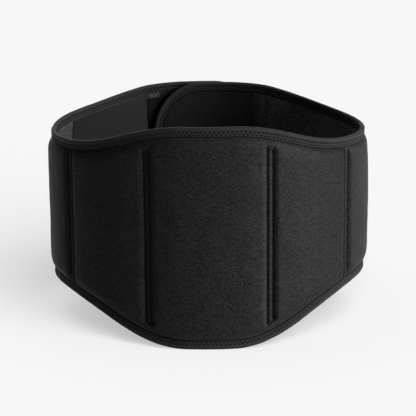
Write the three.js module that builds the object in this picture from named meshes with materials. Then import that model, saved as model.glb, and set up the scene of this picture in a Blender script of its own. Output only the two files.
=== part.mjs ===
// Lumbar support belt, closed into a loop and standing on its lower edge.
// Millimetres, +Z up. The lumbar side faces -Y and the closure faces +Y.
// A place on the belt is given by its length along the wall from the middle of the lumbar side
// (positive towards +X), its height, and its depth, which is positive outwards.

import * as THREE from 'three';

// Belt loop, measured at the middle of the wall
const BELT_HALF_WIDTH = 150.7;
const BELT_HALF_DEPTH = 110;
const BELT_HEIGHT = 212.4;
const TOP_DIP = 22.8;
const BOTTOM_RISE_LEFT = 43;
const BOTTOM_RISE_RIGHT = 46.6;
const FOOT_SPREAD = 3;

// Closure: both ends run past its middle, and their corners are round
const END_PAST_MIDDLE = 58.5;
const END_CORNER_RADIUS = 52;
const END_TAB_LENGTH = 31.7;
const CROSSING_LENGTH = 60;
const CROSSING_MARGIN = 6;

// Stay channels: the first two pairs are measured from the lumbar middle, the others from the closure's
const LUMBAR_CHANNEL_PLACE = 56.1;
const FLANK_CHANNEL_PLACE = 141.6;
const SIDE_CHANNEL_FROM_CLOSURE = 163;
const FRONT_CHANNEL_FROM_CLOSURE = 57.5;
const CHANNEL_WIDTH = 5.8;
const FRONT_CHANNEL_WIDTH = 13;
const CHANNEL_RIDGE = 2.2;
const LOW_RIDGE = 0.7;

// Thickness of the padded wall on each side of its middle
const STITCHED_HALF = 1;
const PAD_OUTER = 5.6;
const PAD_INNER = 2.6;
const FRONT_OUTER = 3.2;
const FRONT_INNER = 2.2;
const END_HALF = 1.7;
const SHOULDER_HEIGHT = 12;
const SHOULDER_WIDTH = 6;
const END_SHOULDER = 3;

// Edge tape, folded over every edge of the belt
const TAPE_DEPTH = 9;
const TAPE_THICKNESS = 0.9;
const TAPE_ROUNDING = 1.1;

// Layers on the inner face
const LINING_THICKNESS = 1.2;
const HOOK_THICKNESS = 1.2;
const HOOK_INSET = 14;

// Gap between touching pieces, and the largest step of the faceted surface along the belt
const GAP = 0.3;
const STEP = 11;
const CORNER_CUTS = 6;
const CORNER_CUT = Math.PI / 2 / CORNER_CUTS;

// Edge shape over a quarter of the loop, from the middle of a side that is high or low to the flank.
// Columns: along is a share of the quarter, the others are shares of TOP_DIP or of the bottom's rise.
// The +X side is cut a little narrower than the -X side, which is the left.
const EDGE_SHAPE = [
  { along: 0.0, lumbarTop: 0.0, closureTopLeft: 0.0, closureTopRight: 0.0, bottom: 0.0 },
  { along: 0.12, lumbarTop: 0.0, closureTopLeft: 0.0, closureTopRight: 0.0, bottom: 0.0 },
  { along: 0.2, lumbarTop: 0.05, closureTopLeft: 0.02, closureTopRight: 0.02, bottom: 0.045 },
  { along: 0.3, lumbarTop: 0.21, closureTopLeft: 0.085, closureTopRight: 0.09, bottom: 0.185 },
  { along: 0.4, lumbarTop: 0.465, closureTopLeft: 0.255, closureTopRight: 0.275, bottom: 0.395 },
  { along: 0.5, lumbarTop: 0.715, closureTopLeft: 0.435, closureTopRight: 0.5, bottom: 0.625 },
  { along: 0.6, lumbarTop: 0.885, closureTopLeft: 0.6, closureTopRight: 0.705, bottom: 0.81 },
  { along: 0.7, lumbarTop: 0.965, closureTopLeft: 0.715, closureTopRight: 0.845, bottom: 0.935 },
  { along: 0.8, lumbarTop: 0.995, closureTopLeft: 0.805, closureTopRight: 0.93, bottom: 0.99 },
  { along: 0.9, lumbarTop: 1.0, closureTopLeft: 0.895, closureTopRight: 0.975, bottom: 1.0 },
  { along: 1.0, lumbarTop: 1.0, closureTopLeft: 1.0, closureTopRight: 1.0, bottom: 1.0 },
];

// Where a shoulder is cut by the faceted surface, as shares of its height or width
const SHOULDER_CUTS = [0, 0.08, 0.35, 1];

const FABRIC = { color: 0x1b1b1d, roughness: 0.88, metalness: 0 };
const CHANNEL_FABRIC = { color: 0x1d1d1f, roughness: 0.85, metalness: 0 };
const LINING = { color: 0x2c2c2e, roughness: 0.92, metalness: 0 };
const TAPE = { color: 0x222224, roughness: 0.8, metalness: 0 };
const HOOK = { color: 0x161617, roughness: 0.95, metalness: 0 };

// Plan of the loop: an ellipse measured by its own length
const PLAN_SAMPLES = 2880;
const planLength = [0];
for (let i = 1; i <= PLAN_SAMPLES; i += 1) {
  const angle = ((i - 0.5) / PLAN_SAMPLES) * 2 * Math.PI;
  const speed = Math.hypot(BELT_HALF_WIDTH * Math.cos(angle), BELT_HALF_DEPTH * Math.sin(angle));
  planLength.push(planLength[i - 1] + (speed * 2 * Math.PI) / PLAN_SAMPLES);
}
const LOOP_LENGTH = planLength[PLAN_SAMPLES];
const QUARTER = LOOP_LENGTH / 4;
const HALF_LOOP = LOOP_LENGTH / 2;
const BELT_END = HALF_LOOP + END_PAST_MIDDLE;
const CORNER_START = BELT_END - END_CORNER_RADIUS;

function planAngle(length) {
  const target = Math.abs(length);
  let low = 0;
  let high = PLAN_SAMPLES;
  while (high - low > 1) {
    const middle = (low + high) >> 1;
    if (planLength[middle] <= target) {
      low = middle;
    } else {
      high = middle;
    }
  }
  const share = (target - planLength[low]) / (planLength[high] - planLength[low]);
  return (Math.sign(length) * (low + share) * 2 * Math.PI) / PLAN_SAMPLES;
}

// Smooth curve through the rows of a table, level at both ends and never overshooting a row
function readTable(rows, column, along) {
  const last = rows.length - 1;
  const place = Math.min(Math.max(along, rows[0].along), rows[last].along);
  let i = 0;
  while (i < last - 1 && place > rows[i + 1].along) {
    i += 1;
  }
  const rise = (k) => (rows[k + 1][column] - rows[k][column]) / (rows[k + 1].along - rows[k].along);
  const slopeAt = (k) => {
    if (k === 0 || k === last || rise(k - 1) * rise(k) <= 0) {
      return 0;
    }
    return 2 / (1 / rise(k - 1) + 1 / rise(k));
  };
  const width = rows[i + 1].along - rows[i].along;
  const t = (place - rows[i].along) / width;
  const low = rows[i][column] * (1 + 2 * t) + slopeAt(i) * width * t;
  const high = rows[i + 1][column] * (3 - 2 * t) - slopeAt(i + 1) * width * (1 - t);
  return low * (1 - t) ** 2 + high * t ** 2;
}

// Height of the cut edge of the belt, before its end corners are rounded
function topHeight(length) {
  const fromLumbar = Math.abs(length) / QUARTER;
  if (fromLumbar <= 1) {
    return BELT_HEIGHT - TOP_DIP * readTable(EDGE_SHAPE, 'lumbarTop', fromLumbar);
  }
  const closureTop = length < 0 ? 'closureTopLeft' : 'closureTopRight';
  return BELT_HEIGHT - TOP_DIP * readTable(EDGE_SHAPE, closureTop, Math.abs(2 - fromLumbar));
}

function bottomHeight(length) {
  const fromLumbar = Math.abs(length) / QUARTER;
  const along = fromLumbar <= 1 ? fromLumbar : Math.abs(2 - fromLumbar);
  const rise = length < 0 ? BOTTOM_RISE_LEFT : BOTTOM_RISE_RIGHT;
  return rise * readTable(EDGE_SHAPE, 'bottom', along);
}

// Height above the centre of a round corner, which is faceted at the same angles for every radius
function cornerRise(into, radius) {
  const angle = Math.asin(into / radius);
  const cut = Math.min(Math.floor(angle / CORNER_CUT), CORNER_CUTS - 1) * CORNER_CUT;
  const near = { out: radius * Math.sin(cut), up: radius * Math.cos(cut) };
  const far = { out: radius * Math.sin(cut + CORNER_CUT), up: radius * Math.cos(cut + CORNER_CUT) };
  return near.up + ((far.up - near.up) * (into - near.out)) / (far.out - near.out);
}

// Height of a line that runs a given inset inside the upper or lower edge, round corners included
function lineHeight(length, inset, upper) {
  const edge = upper ? topHeight : bottomHeight;
  const slope = edge(length + 1) - edge(length);
  let drop = inset * Math.hypot(1, slope);
  const intoCorner = Math.abs(length) - CORNER_START;
  if (intoCorner > 0) {
    const radius = END_CORNER_RADIUS - inset;
    drop = intoCorner < radius
      ? END_CORNER_RADIUS - cornerRise(intoCorner, radius)
      : END_CORNER_RADIUS + intoCorner - radius;
  }
  return edge(length) + (upper ? -drop : drop);
}

// The +X end crosses to the inside of the closure and the -X end to the outside
const CROSSING_OFFSET = (STITCHED_HALF + TAPE_THICKNESS + GAP + HOOK_THICKNESS + END_HALF + 2 * GAP) / 2;

function crossing(length) {
  const done = LOOP_LENGTH - BELT_END - CROSSING_MARGIN;
  const share = THREE.MathUtils.smoothstep(Math.abs(length), done - CROSSING_LENGTH, done);
  return -Math.sign(length) * CROSSING_OFFSET * share;
}

// Point of the belt in space
function wallPoint(length, height, depth) {
  const angle = planAngle(length);
  const normal = new THREE.Vector2(
    BELT_HALF_DEPTH * Math.sin(angle),
    -BELT_HALF_WIDTH * Math.cos(angle),
  ).normalize();
  const out = depth + crossing(length) + FOOT_SPREAD * (1 - height / BELT_HEIGHT);
  return new THREE.Vector3(
    BELT_HALF_WIDTH * Math.sin(angle) + normal.x * out,
    -BELT_HALF_DEPTH * Math.cos(angle) + normal.y * out,
    height,
  );
}

// Closed solid through a row of sections, each a ring of { length, height, depth }, with flat end caps
function sectionSolid(sections, capPoint) {
  const count = sections[0].length;
  const points = sections.flat().map((place) => wallPoint(place.length, place.height, place.depth));
  const faces = [];
  for (let i = 0; i < sections.length - 1; i += 1) {
    for (let j = 0; j < count; j += 1) {
      const a = i * count + j;
      const b = i * count + ((j + 1) % count);
      faces.push([a, a + count, b], [b, a + count, b + count]);
    }
  }
  for (const end of [0, sections.length - 1]) {
    const outline = sections[end].map(capPoint);
    for (const corners of THREE.ShapeUtils.triangulateShape(outline, [])) {
      const triangle = corners.map((corner) => outline[corner]);
      const withRing = THREE.ShapeUtils.area(triangle) * THREE.ShapeUtils.area(outline) > 0;
      const face = corners.map((corner) => corner + end * count);
      faces.push(withRing === end > 0 ? face.reverse() : face);
    }
  }
  const volume = faces.reduce((sum, [a, b, c]) => sum + points[a].dot(points[b].clone().cross(points[c])), 0);
  if (volume < 0) {
    faces.forEach((face) => face.reverse());
  }
  const geometry = new THREE.BufferGeometry().setFromPoints(points);
  geometry.setIndex(faces.flat());
  geometry.computeVertexNormals();
  return geometry;
}

function piece(name, geometry, look) {
  const mesh = new THREE.Mesh(geometry, new THREE.MeshStandardMaterial(look));
  mesh.name = name;
  return mesh;
}

// Round shoulder of a pad: 0 at its seam, 1 once it has its full thickness
function shoulder(share) {
  const t = THREE.MathUtils.clamp(share, 0, 1);
  return Math.sqrt(t * (2 - t));
}

// Places along a pad: close together on the shoulder at each seam, then at even steps
function padStations(from, to) {
  const cuts = SHOULDER_CUTS.map((cut) => cut * SHOULDER_WIDTH);
  const inner = to - from - 2 * SHOULDER_WIDTH;
  const steps = Math.max(1, Math.ceil(inner / STEP));
  const stations = cuts.map((cut) => from + cut);
  for (let i = 1; i < steps; i += 1) {
    stations.push(from + SHOULDER_WIDTH + (inner * i) / steps);
  }
  return [...stations, ...cuts.reverse().map((cut) => to - cut)];
}

// Insets of a wall's lines: its edge inside the tape, the tape's lip, then the shoulder
const TAPE_LIP = TAPE_DEPTH + GAP;
const CLOTH_EDGE = TAPE_THICKNESS + GAP;
const WALL_INSETS = [CLOTH_EDGE, ...SHOULDER_CUTS.map((cut) => TAPE_LIP + cut * SHOULDER_HEIGHT)];
const END_CUTS = [0, SHOULDER_CUTS[2], 1];
const END_INSETS = [CLOTH_EDGE, ...END_CUTS.map((cut) => TAPE_LIP + cut * END_SHOULDER)];

// Ring of a wall's section at one place: up its outer face and down its inner face
function wallRing(length, outerAt, innerAt, insets = WALL_INSETS) {
  const ring = [];
  for (const inset of insets) {
    ring.push({ length, height: lineHeight(length, inset, false), depth: outerAt(inset) });
  }
  for (const inset of [...insets].reverse()) {
    ring.push({ length, height: lineHeight(length, inset, true), depth: outerAt(inset) });
  }
  for (const inset of insets) {
    ring.push({ length, height: lineHeight(length, inset, true), depth: -innerAt(inset) });
  }
  for (const inset of [...insets].reverse()) {
    ring.push({ length, height: lineHeight(length, inset, false), depth: -innerAt(inset) });
  }
  return ring;
}

const acrossWall = (place) => new THREE.Vector2(place.depth, place.height);

// Padded panel between two seams, with a round shoulder along all four sides
function padGeometry(from, to, outer, inner) {
  const sections = padStations(from, to).map((length) => {
    const side = shoulder(Math.min(length - from, to - length) / SHOULDER_WIDTH);
    const swell = (inset) => side * shoulder((inset - TAPE_LIP) / SHOULDER_HEIGHT);
    return wallRing(
      length,
      (inset) => STITCHED_HALF + (outer - STITCHED_HALF) * swell(inset),
      (inset) => STITCHED_HALF + (inner - STITCHED_HALF) * swell(inset),
    );
  });
  return sectionSolid(sections, acrossWall);
}

// Places across a stay channel as shares of its width, and how far its ridge stands there
const CHANNEL_SHAPE = [
  { along: 0, ridge: 0 },
  { along: 0.2, ridge: 0.75 },
  { along: 0.5, ridge: 1 },
  { along: 0.8, ridge: 0.75 },
  { along: 1, ridge: 0 },
];

// Narrow channel that holds a stay, raised as a ridge between its two seams
function channelGeometry(middle, width, outerRidge, innerRidge) {
  const clear = width - GAP;
  const sections = CHANNEL_SHAPE.map(({ along, ridge }) => {
    const length = middle + (along - 0.5) * clear;
    const swell = (inset) => ridge * shoulder((inset - TAPE_LIP) / SHOULDER_HEIGHT);
    return wallRing(
      length,
      (inset) => STITCHED_HALF + outerRidge * swell(inset),
      (inset) => STITCHED_HALF + innerRidge * swell(inset),
    );
  });
  return sectionSolid(sections, acrossWall);
}

// Lengths at which the cuts of a round corner lie, for a line at the given inset
function cornerPlaces(inset) {
  const places = [];
  for (let cut = 0; cut <= CORNER_CUTS; cut += 1) {
    places.push(CORNER_START + (END_CORNER_RADIUS - inset) * Math.sin(cut * CORNER_CUT));
  }
  return places;
}

// Thin panel near an end of the belt, from one seam to another or to the round corners of the tip
function endGeometry(from, to, side) {
  const seamStep = END_SHOULDER * SHOULDER_CUTS[1];
  const finish = Math.min(to, BELT_END - TAPE_LIP);
  const steps = Math.ceil((to - from) / STEP);
  const places = [from, from + seamStep, from + END_SHOULDER];
  places.push(finish - END_SHOULDER, finish - seamStep, finish, to);
  for (let i = 1; i < steps; i += 1) {
    places.push(from + ((to - from) * i) / steps);
  }
  const inside = cornerPlaces(CLOTH_EDGE).filter((place) => place > from && place <= to);
  const ordered = [...places, ...inside].sort((a, b) => a - b);
  const spaced = ordered.filter((place, i) => i === 0 || place - ordered[i - 1] > GAP);
  const sections = spaced.map((place) => {
    const across = shoulder(Math.min(place - from, finish - place) / END_SHOULDER);
    const swell = (inset) => across * shoulder((inset - TAPE_LIP) / END_SHOULDER);
    const half = (inset) => STITCHED_HALF + (END_HALF - STITCHED_HALF) * swell(inset);
    return wallRing(side * place, half, half, END_INSETS);
  });
  return sectionSolid(sections, acrossWall);
}

// Section of the edge tape: a channel folded over the cloth. Inset from the edge, then depth.
const TAPE_HALF = STITCHED_HALF + GAP + TAPE_THICKNESS;
const TAPE_SECTION = [
  { inset: TAPE_DEPTH, depth: TAPE_HALF },
  { inset: TAPE_ROUNDING, depth: TAPE_HALF },
  { inset: 0, depth: TAPE_HALF - TAPE_ROUNDING },
  { inset: 0, depth: TAPE_ROUNDING - TAPE_HALF },
  { inset: TAPE_ROUNDING, depth: -TAPE_HALF },
  { inset: TAPE_DEPTH, depth: -TAPE_HALF },
  { inset: TAPE_DEPTH, depth: TAPE_THICKNESS - TAPE_HALF },
  { inset: TAPE_THICKNESS, depth: TAPE_THICKNESS - TAPE_HALF },
  { inset: TAPE_THICKNESS, depth: TAPE_HALF - TAPE_THICKNESS },
  { inset: TAPE_DEPTH, depth: TAPE_HALF - TAPE_THICKNESS },
];

const acrossTape = (place) => new THREE.Vector2(place.depth, place.inset);

// Tape along the whole upper or lower edge, between the round corners of the two ends
function longTapeGeometry(upper) {
  const reach = CORNER_START - GAP;
  const steps = Math.ceil((2 * reach) / STEP);
  const sections = [];
  for (let i = 0; i <= steps; i += 1) {
    const length = -reach + (2 * reach * i) / steps;
    sections.push(TAPE_SECTION.map(({ inset, depth }) => (
      { length, height: lineHeight(length, inset, upper), depth, inset }
    )));
  }
  return sectionSolid(sections, acrossTape);
}

// Tape round an end of the belt: a corner, the straight end and the other corner
function endTapeGeometry(side) {
  const cornerSections = (upper) => cornerPlaces(0).map((_, cut) => (
    TAPE_SECTION.map(({ inset, depth }) => {
      const length = cornerPlaces(inset)[cut];
      return { length: side * length, height: lineHeight(length, inset, upper), depth, inset };
    })
  ));
  return sectionSolid([...cornerSections(true), ...cornerSections(false).reverse()], acrossTape);
}

// Thin layer on the inner face, between two insets and two places along the belt
function layerGeometry(places, inset, thickness, innerAt) {
  const sections = places.map((length) => {
    const ring = [];
    for (const cut of SHOULDER_CUTS) {
      const line = inset + cut * SHOULDER_HEIGHT;
      ring.push({ length, height: lineHeight(length, line, false), depth: -innerAt(length, line) - GAP });
    }
    for (const cut of [...SHOULDER_CUTS].reverse()) {
      const line = inset + cut * SHOULDER_HEIGHT;
      ring.push({ length, height: lineHeight(length, line, true), depth: -innerAt(length, line) - GAP });
    }
    const back = ring.map((place) => ({ ...place, depth: place.depth - thickness }));
    return [...ring, ...back.reverse()];
  });
  return sectionSolid(sections, acrossWall);
}

// Seams between the panels, as lengths from the middle of the lumbar side
const SIDE_CHANNEL_PLACE = HALF_LOOP - SIDE_CHANNEL_FROM_CLOSURE;
const FRONT_CHANNEL_PLACE = HALF_LOOP - FRONT_CHANNEL_FROM_CLOSURE;
const HALF_CHANNEL = (CHANNEL_WIDTH + GAP) / 2;
const HALF_FRONT_CHANNEL = (FRONT_CHANNEL_WIDTH + GAP) / 2;

// Panels on each side of the lumbar pad, with the two seams of each and its thickness
const SIDE_PANELS = [
  {
    name: 'flank_pad',
    from: LUMBAR_CHANNEL_PLACE + HALF_CHANNEL,
    to: FLANK_CHANNEL_PLACE - HALF_CHANNEL,
    outer: PAD_OUTER,
    inner: PAD_INNER,
  },
  {
    name: 'side_pad',
    from: FLANK_CHANNEL_PLACE + HALF_CHANNEL,
    to: SIDE_CHANNEL_PLACE - HALF_CHANNEL,
    outer: PAD_OUTER,
    inner: PAD_INNER,
  },
  {
    name: 'front_panel',
    from: SIDE_CHANNEL_PLACE + HALF_CHANNEL,
    to: FRONT_CHANNEL_PLACE - HALF_FRONT_CHANNEL,
    outer: FRONT_OUTER,
    inner: FRONT_INNER,
  },
];

// Stay channels on each side, with the ridge that each raises on the outer face
const CHANNELS = [
  { name: 'stay_channel_lumbar', place: LUMBAR_CHANNEL_PLACE, width: CHANNEL_WIDTH, ridge: CHANNEL_RIDGE },
  { name: 'stay_channel_flank', place: FLANK_CHANNEL_PLACE, width: CHANNEL_WIDTH, ridge: CHANNEL_RIDGE },
  { name: 'stay_channel_side', place: SIDE_CHANNEL_PLACE, width: CHANNEL_WIDTH, ridge: LOW_RIDGE },
  { name: 'stay_channel_front', place: FRONT_CHANNEL_PLACE, width: FRONT_CHANNEL_WIDTH, ridge: LOW_RIDGE },
];

const SIDES = [
  { word: 'left', sign: -1 },
  { word: 'right', sign: 1 },
];

const belt = new THREE.Group();

// Pads and stay channels
const lumbarHalf = LUMBAR_CHANNEL_PLACE - HALF_CHANNEL;
belt.add(piece('lumbar_pad', padGeometry(-lumbarHalf, lumbarHalf, PAD_OUTER, PAD_INNER), FABRIC));
for (const { word, sign } of SIDES) {
  for (const { name, from, to, outer, inner } of SIDE_PANELS) {
    const ends = [sign * from, sign * to].sort((a, b) => a - b);
    belt.add(piece(`${name}_${word}`, padGeometry(ends[0], ends[1], outer, inner), FABRIC));
  }
  for (const { name, place, width, ridge } of CHANNELS) {
    const geometry = channelGeometry(sign * place, width, ridge, LOW_RIDGE);
    belt.add(piece(`${name}_${word}`, geometry, CHANNEL_FABRIC));
  }
}

// Closure panels and the tabs that end them, the outer end on the -X side and the flap on the +X side
const endFrom = FRONT_CHANNEL_PLACE + HALF_FRONT_CHANNEL;
const tabSeam = BELT_END - END_TAB_LENGTH;
for (const { word, sign } of SIDES) {
  const panel = endGeometry(endFrom, tabSeam - GAP / 2, sign);
  belt.add(piece(`closure_panel_${word}`, panel, FABRIC));
  const tab = endGeometry(tabSeam + GAP / 2, BELT_END - CLOTH_EDGE, sign);
  belt.add(piece(`end_tab_${word}`, tab, CHANNEL_FABRIC));
}

// Edge tape
belt.add(piece('binding_top', longTapeGeometry(true), TAPE));
belt.add(piece('binding_bottom', longTapeGeometry(false), TAPE));
for (const { word, sign } of SIDES) {
  belt.add(piece(`binding_end_${word}`, endTapeGeometry(sign), TAPE));
}

// Lining of the front panel on the -X side, which ends in a hem where the hook patch starts
const liningFrom = SIDE_CHANNEL_PLACE + HALF_CHANNEL;
const liningTo = FRONT_CHANNEL_PLACE - HALF_FRONT_CHANNEL;
const liningDepth = (length, inset) => {
  const across = Math.min(-length - liningFrom, liningTo + length) / SHOULDER_WIDTH;
  const swell = shoulder(across) * shoulder((inset - TAPE_LIP) / SHOULDER_HEIGHT);
  return STITCHED_HALF + (FRONT_INNER - STITCHED_HALF) * swell;
};
const liningPlaces = padStations(-liningTo, -liningFrom);
const liningGeometry = layerGeometry(liningPlaces, TAPE_LIP, LINING_THICKNESS, liningDepth);
belt.add(piece('lining_left', liningGeometry, LINING));

// Hook patch on the inner face of the outer end, from the lining to near the tip, which grips the flap
const hookFrom = liningTo + GAP;
const hookTo = BELT_END - HOOK_INSET;
const hookSteps = Math.ceil((hookTo - hookFrom) / STEP);
const hookPlaces = [];
for (let i = 0; i <= hookSteps; i += 1) {
  hookPlaces.push(-hookTo + ((hookTo - hookFrom) * i) / hookSteps);
}
const hookGeometry = layerGeometry(hookPlaces, HOOK_INSET, HOOK_THICKNESS, () => END_HALF);
belt.add(piece('hook_patch', hookGeometry, HOOK));

// The origin is under the middle of the belt's box, at the level that it stands on
const box = new THREE.Box3().setFromObject(belt);
belt.position.y = -(box.min.y + box.max.y) / 2;

export default belt;
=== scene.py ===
"""Lumbar support belt in black cloth: padded panels, stay channels, taped edges, lapped closure.

Sizes are in millimetres, as in the part's source, and wall() turns a place on the belt into metres.
A place is a length along the wall from the lumbar middle (positive towards +X), a height, and a
depth that is positive outwards.
"""

import math

import bpy
import numpy as np
from mathutils import Matrix


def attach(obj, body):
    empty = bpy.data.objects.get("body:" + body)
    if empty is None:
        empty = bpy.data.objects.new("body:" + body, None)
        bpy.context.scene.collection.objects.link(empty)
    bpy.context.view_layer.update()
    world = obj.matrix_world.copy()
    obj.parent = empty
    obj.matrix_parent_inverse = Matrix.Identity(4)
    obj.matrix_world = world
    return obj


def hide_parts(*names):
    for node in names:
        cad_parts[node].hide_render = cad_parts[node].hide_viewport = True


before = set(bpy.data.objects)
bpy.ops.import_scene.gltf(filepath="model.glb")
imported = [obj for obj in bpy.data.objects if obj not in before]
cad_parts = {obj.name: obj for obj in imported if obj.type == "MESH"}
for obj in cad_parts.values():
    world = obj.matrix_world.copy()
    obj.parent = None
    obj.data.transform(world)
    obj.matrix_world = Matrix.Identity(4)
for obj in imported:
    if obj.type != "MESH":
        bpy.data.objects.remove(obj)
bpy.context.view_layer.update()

MM = 0.001

# Belt loop, measured at the middle of the wall
BELT_HALF_WIDTH = 150.7
BELT_HALF_DEPTH = 110
BELT_HEIGHT = 212.4
TOP_DIP = 22.8
BOTTOM_RISE_LEFT = 43
BOTTOM_RISE_RIGHT = 46.6
FOOT_SPREAD = 3
# Shift along Y that brings the middle of the belt's box to the origin
BELT_SHIFT = 0.124

# Closure
END_PAST_MIDDLE = 58.5
CORNER_RADIUS = 52
TAB_LENGTH = 31.7
CROSSING_LENGTH = 60
CROSSING_MARGIN = 6
CROSSING_OFFSET = 2.85

# Wall: half of its thickness at a seam, then the insets from the belt's cut edge at which the pads
# begin to rise and at which their cloth ends, inside the tape
STITCHED_HALF = 1
TAPE_LIP = 9.3
CLOTH_EDGE = 1.2

# Edge shape over a quarter of the loop: share of the quarter, then shares of the dip or rise
EDGE_ALONG = np.array([0, 0.12, 0.2, 0.3, 0.4, 0.5, 0.6, 0.7, 0.8, 0.9, 1])
LUMBAR_TOP = np.array([0, 0, 0.05, 0.21, 0.465, 0.715, 0.885, 0.965, 0.995, 1, 1])
CLOSURE_TOP_LEFT = np.array([0, 0, 0.02, 0.085, 0.255, 0.435, 0.6, 0.715, 0.805, 0.895, 1])
CLOSURE_TOP_RIGHT = np.array([0, 0, 0.02, 0.09, 0.275, 0.5, 0.705, 0.845, 0.93, 0.975, 1])
BOTTOM = np.array([0, 0, 0.045, 0.185, 0.395, 0.625, 0.81, 0.935, 0.99, 1, 1])

# Stitching, and how far its needle holes pull the cloth down and how wide that reaches
PITCH = 4.0
THREAD = 0.30
SEAM_PUCKER = 1.1
SEAM_PUCKER_REACH = 2.2
RIM_PUCKER = 0.22
RIM_PUCKER_REACH = 2.5
RIDGE_PUCKER = 0.8

PLAN_SAMPLES = 2880
plan_middle = (np.arange(PLAN_SAMPLES) + 0.5) * 2 * np.pi / PLAN_SAMPLES
plan_speed = np.hypot(BELT_HALF_WIDTH * np.cos(plan_middle), BELT_HALF_DEPTH * np.sin(plan_middle))
PLAN_LENGTH = np.concatenate([[0], np.cumsum(plan_speed * 2 * np.pi / PLAN_SAMPLES)])
PLAN_ANGLE = np.linspace(0, 2 * np.pi, PLAN_SAMPLES + 1)
LOOP_LENGTH = PLAN_LENGTH[-1]
QUARTER = LOOP_LENGTH / 4
HALF_LOOP = LOOP_LENGTH / 2
BELT_END = HALF_LOOP + END_PAST_MIDDLE
CORNER_START = BELT_END - CORNER_RADIUS


def smooth(low, high, x):
    """0 below low, 1 above high, and smooth between."""
    t = np.clip((x - low) / (high - low), 0, 1)
    return t * t * (3 - 2 * t)


def swell(share, power=0.5):
    """Round shoulder: 0 at a seam, 1 at full thickness. A higher power rounds it more slowly."""
    t = np.clip(share, 0, 1)
    return (t * (2 - t)) ** power


def monotone_slopes(values):
    """Slopes of a smooth curve through the values that never overshoots one."""
    rise = np.diff(values) / np.diff(EDGE_ALONG)
    slopes = np.zeros(len(values))
    for k in range(1, len(values) - 1):
        if rise[k - 1] * rise[k] > 0:
            slopes[k] = 2 / (1 / rise[k - 1] + 1 / rise[k])
    return slopes


def read_table(values, along):
    place = np.clip(along, 0, 1)
    slopes = monotone_slopes(values)
    i = np.clip(np.searchsorted(EDGE_ALONG, place, side="left") - 1, 0, len(values) - 2)
    width = EDGE_ALONG[i + 1] - EDGE_ALONG[i]
    t = (place - EDGE_ALONG[i]) / width
    low = values[i] * (1 + 2 * t) + slopes[i] * width * t
    high = values[i + 1] * (3 - 2 * t) - slopes[i + 1] * width * (1 - t)
    return low * (1 - t) ** 2 + high * t**2


def top_height(s):
    share = np.abs(s) / QUARTER
    near = read_table(LUMBAR_TOP, share)
    left, right = (read_table(t, np.abs(2 - share)) for t in (CLOSURE_TOP_LEFT, CLOSURE_TOP_RIGHT))
    return BELT_HEIGHT - TOP_DIP * np.where(share <= 1, near, np.where(s < 0, left, right))


def bottom_height(s):
    share = np.abs(s) / QUARTER
    rise = np.where(s < 0, BOTTOM_RISE_LEFT, BOTTOM_RISE_RIGHT)
    return rise * read_table(BOTTOM, np.where(share <= 1, share, np.abs(2 - share)))


def line_height(s, inset, upper):
    """Height of the line that runs an inset inside the upper or lower edge, round corners too."""
    edge = top_height if upper else bottom_height
    s, inset = np.broadcast_arrays(np.asarray(s, float), np.asarray(inset, float))
    drop = inset * np.hypot(1, edge(s + 1) - edge(s))
    into = np.abs(s) - CORNER_START
    radius = CORNER_RADIUS - inset
    inside = np.sqrt(np.clip(radius**2 - into**2, 0, None))
    corner = np.where(into < radius, CORNER_RADIUS - inside, CORNER_RADIUS + into - radius)
    drop = np.where(into > 0, corner, drop)
    return edge(s) - drop if upper else edge(s) + drop


def inset_at(s, z):
    """Distance of a place from the belt's cut edge."""
    top, bottom = top_height(s), bottom_height(s)
    from_top = (top - z) / np.hypot(1, top_height(s + 1) - top)
    from_bottom = (z - bottom) / np.hypot(1, bottom_height(s + 1) - bottom)
    inset = np.minimum(np.minimum(from_top, from_bottom), BELT_END - np.abs(s))
    into = np.abs(s) - CORNER_START
    for up in (z - top + CORNER_RADIUS, bottom + CORNER_RADIUS - z):
        in_corner = (into > 0) & (up > 0)
        inset = np.where(in_corner, np.minimum(inset, CORNER_RADIUS - np.hypot(into, up)), inset)
    return inset


def crossing(s):
    done = LOOP_LENGTH - BELT_END - CROSSING_MARGIN
    return -np.sign(s) * CROSSING_OFFSET * smooth(done - CROSSING_LENGTH, done, np.abs(s))


def wall(s, z, depth):
    """Points of the belt in metres."""
    s, z, depth = np.broadcast_arrays(*(np.asarray(v, float) for v in (s, z, depth)))
    angle = np.sign(s) * np.interp(np.abs(s), PLAN_LENGTH, PLAN_ANGLE)
    nx, ny = BELT_HALF_DEPTH * np.sin(angle), -BELT_HALF_WIDTH * np.cos(angle)
    size = np.hypot(nx, ny)
    out = depth + crossing(s) + FOOT_SPREAD * (1 - z / BELT_HEIGHT)
    x = BELT_HALF_WIDTH * np.sin(angle) + nx / size * out
    y = -BELT_HALF_DEPTH * np.cos(angle) + ny / size * out + BELT_SHIFT
    return np.stack([x, y, z], axis=-1) * MM


NOISE_SIZE = (97, 89)


def noise(x, y, seed):
    """Smooth noise from -1 to 1, with features about one unit across."""
    wide, high = NOISE_SIZE
    table = np.random.default_rng(seed).uniform(-1, 1, NOISE_SIZE)
    i, j = np.floor(x).astype(int), np.floor(y).astype(int)
    u, v = x - i, y - j
    u, v = u * u * (3 - 2 * u), v * v * (3 - 2 * v)
    rows = []
    for k in (j, j + 1):
        rows.append(table[i % wide, k % high] * (1 - u) + table[(i + 1) % wide, k % high] * u)
    return rows[0] * (1 - v) + rows[1] * v


# ---- Meshes

SHARP_ANGLE = math.radians(62)


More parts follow.
